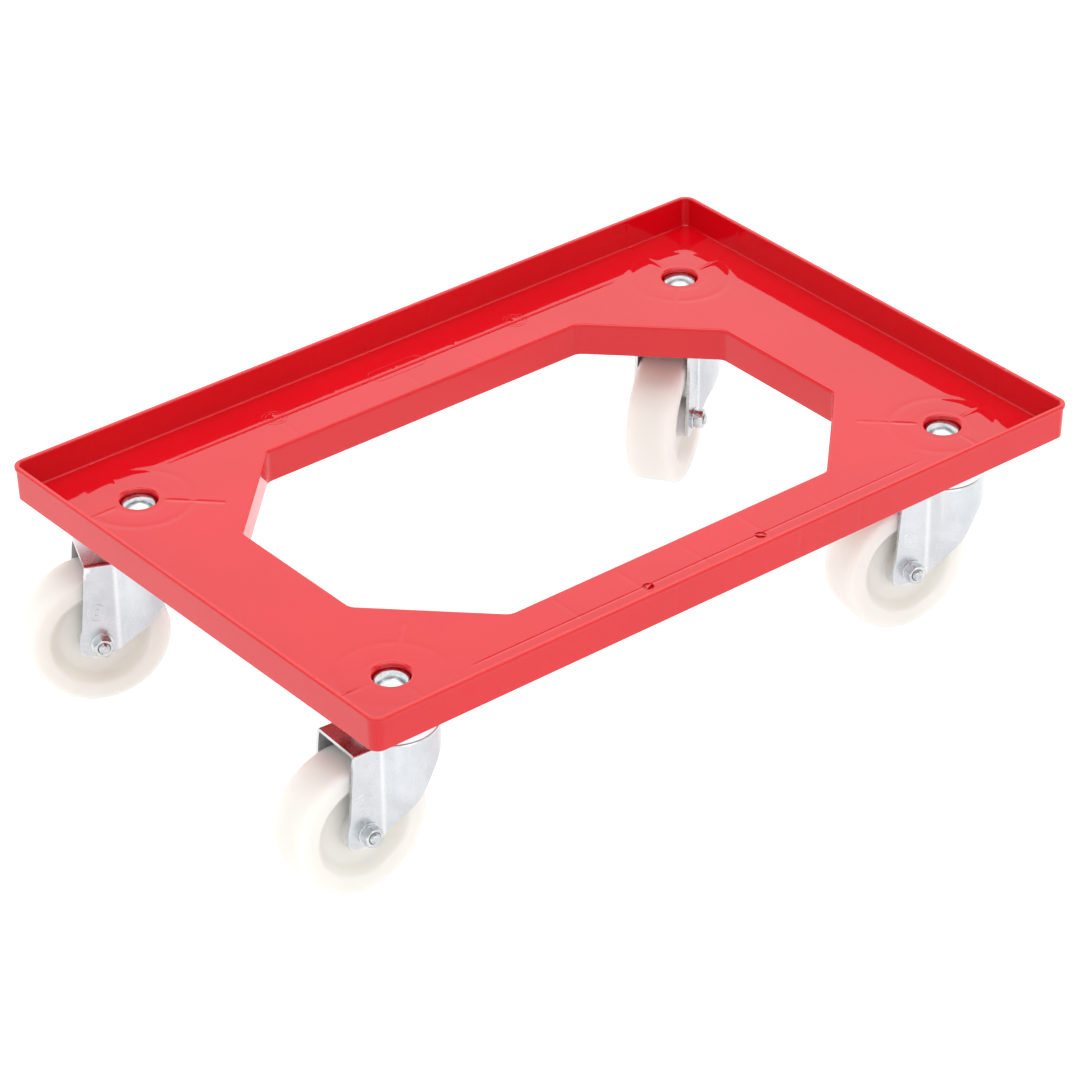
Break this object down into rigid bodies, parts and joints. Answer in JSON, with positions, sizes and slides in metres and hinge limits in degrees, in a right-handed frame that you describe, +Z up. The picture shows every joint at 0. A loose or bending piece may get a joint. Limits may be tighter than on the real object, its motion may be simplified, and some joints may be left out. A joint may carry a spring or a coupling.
{
  "type": "platform trolley",
  "caption": "Low platform trolley: a rectangular tray with a raised rim and a large eight-sided opening, on swivel castors bolted near its corners.",
  "frame": {"origin": "on the floor under the middle of the tray", "axes": "+X along the tray's long side, +Y along its short side, +Z up"},
  "size_m": [0.6349, 0.41, 0.17],
  "materials": {
    "red_plastic": "glossy moulded",
    "nylon": "satin, slightly translucent",
    "zinc_plate": "bright zinc plated",
    "bolt_steel": "zinc plated",
    "ball_steel": "polished and greased"
  },
  "bodies": {
    "tray_body": {"tray": "red_plastic", "castor_bolts": "bolt_steel", "castor_bolt_washers": "zinc_plate", "castor_bolt_nuts": "bolt_steel", "swivel_cap_front_left": "zinc_plate", "upper_balls_front_left": "ball_steel", "lower_balls_front_left": "ball_steel", "lower_cup_front_left": "zinc_plate", "kingpin_front_left": "bolt_steel", "swivel_cap_front_right": "zinc_plate", "upper_balls_front_right": "ball_steel", "lower_balls_front_right": "ball_steel", "lower_cup_front_right": "zinc_plate", "kingpin_front_right": "bolt_steel", "swivel_cap_rear_left": "zinc_plate", "upper_balls_rear_left": "ball_steel", "lower_balls_rear_left": "ball_steel", "lower_cup_rear_left": "zinc_plate", "kingpin_rear_left": "bolt_steel", "swivel_cap_rear_right": "zinc_plate", "upper_balls_rear_right": "ball_steel", "lower_balls_rear_right": "ball_steel", "lower_cup_rear_right": "zinc_plate", "kingpin_rear_right": "bolt_steel"},
    "fork_body_front_left": {"fork_front_left": "zinc_plate", "axle_tube_front_left": "bolt_steel", "axle_bolt_front_left": "bolt_steel", "axle_nut_front_left": "bolt_steel", "axle_washer_front_left": "zinc_plate"},
    "wheel_body_front_left": {"wheel_front_left": "nylon"},
    "fork_body_front_right": {"fork_front_right": "zinc_plate", "axle_tube_front_right": "bolt_steel", "axle_bolt_front_right": "bolt_steel", "axle_nut_front_right": "bolt_steel", "axle_washer_front_right": "zinc_plate"},
    "wheel_body_front_right": {"wheel_front_right": "nylon"},
    "fork_body_rear_left": {"fork_rear_left": "zinc_plate", "axle_tube_rear_left": "bolt_steel", "axle_bolt_rear_left": "bolt_steel", "axle_nut_rear_left": "bolt_steel", "axle_washer_rear_left": "zinc_plate"},
    "wheel_body_rear_left": {"wheel_rear_left": "nylon"},
    "fork_body_rear_right": {"fork_rear_right": "zinc_plate", "axle_tube_rear_right": "bolt_steel", "axle_bolt_rear_right": "bolt_steel", "axle_nut_rear_right": "bolt_steel", "axle_washer_rear_right": "zinc_plate"},
    "wheel_body_rear_right": {"wheel_rear_right": "nylon"}
  },
  "joints": [
    {"name": "swivel_front_left", "type": "hinge", "parent": "tray_body", "child": "fork_body_front_left", "pos_m": [-0.2433, -0.1413, 0.113], "axis": [0, 0, 1], "continuous": true},
    {"name": "spin_front_left", "type": "hinge", "parent": "fork_body_front_left", "child": "wheel_body_front_left", "pos_m": [-0.27924, -0.13923, 0.05], "axis": [-0.0576, -0.9983, 0], "continuous": true},
    {"name": "swivel_front_right", "type": "hinge", "parent": "tray_body", "child": "fork_body_front_right", "pos_m": [0.2433, -0.1413, 0.113], "axis": [0, 0, 1], "continuous": true},
    {"name": "spin_front_right", "type": "hinge", "parent": "fork_body_front_right", "child": "wheel_body_front_right", "pos_m": [0.20789, -0.1348, 0.05], "axis": [-0.1805, -0.9836, 0], "continuous": true},
    {"name": "swivel_rear_left", "type": "hinge", "parent": "tray_body", "child": "fork_body_rear_left", "pos_m": [-0.2433, 0.1413, 0.113], "axis": [0, 0, 1], "continuous": true},
    {"name": "spin_rear_left", "type": "hinge", "parent": "fork_body_rear_left", "child": "wheel_body_rear_left", "pos_m": [-0.27649, 0.15525, 0.05], "axis": [-0.3875, -0.9219, 0], "continuous": true},
    {"name": "swivel_rear_right", "type": "hinge", "parent": "tray_body", "child": "fork_body_rear_right", "pos_m": [0.2433, 0.1413, 0.113], "axis": [0, 0, 1], "continuous": true},
    {"name": "spin_rear_right", "type": "hinge", "parent": "fork_body_rear_right", "child": "wheel_body_rear_right", "pos_m": [0.21331, 0.12138, 0.05], "axis": [0.5534, -0.8329, 0], "continuous": true}
  ]
}
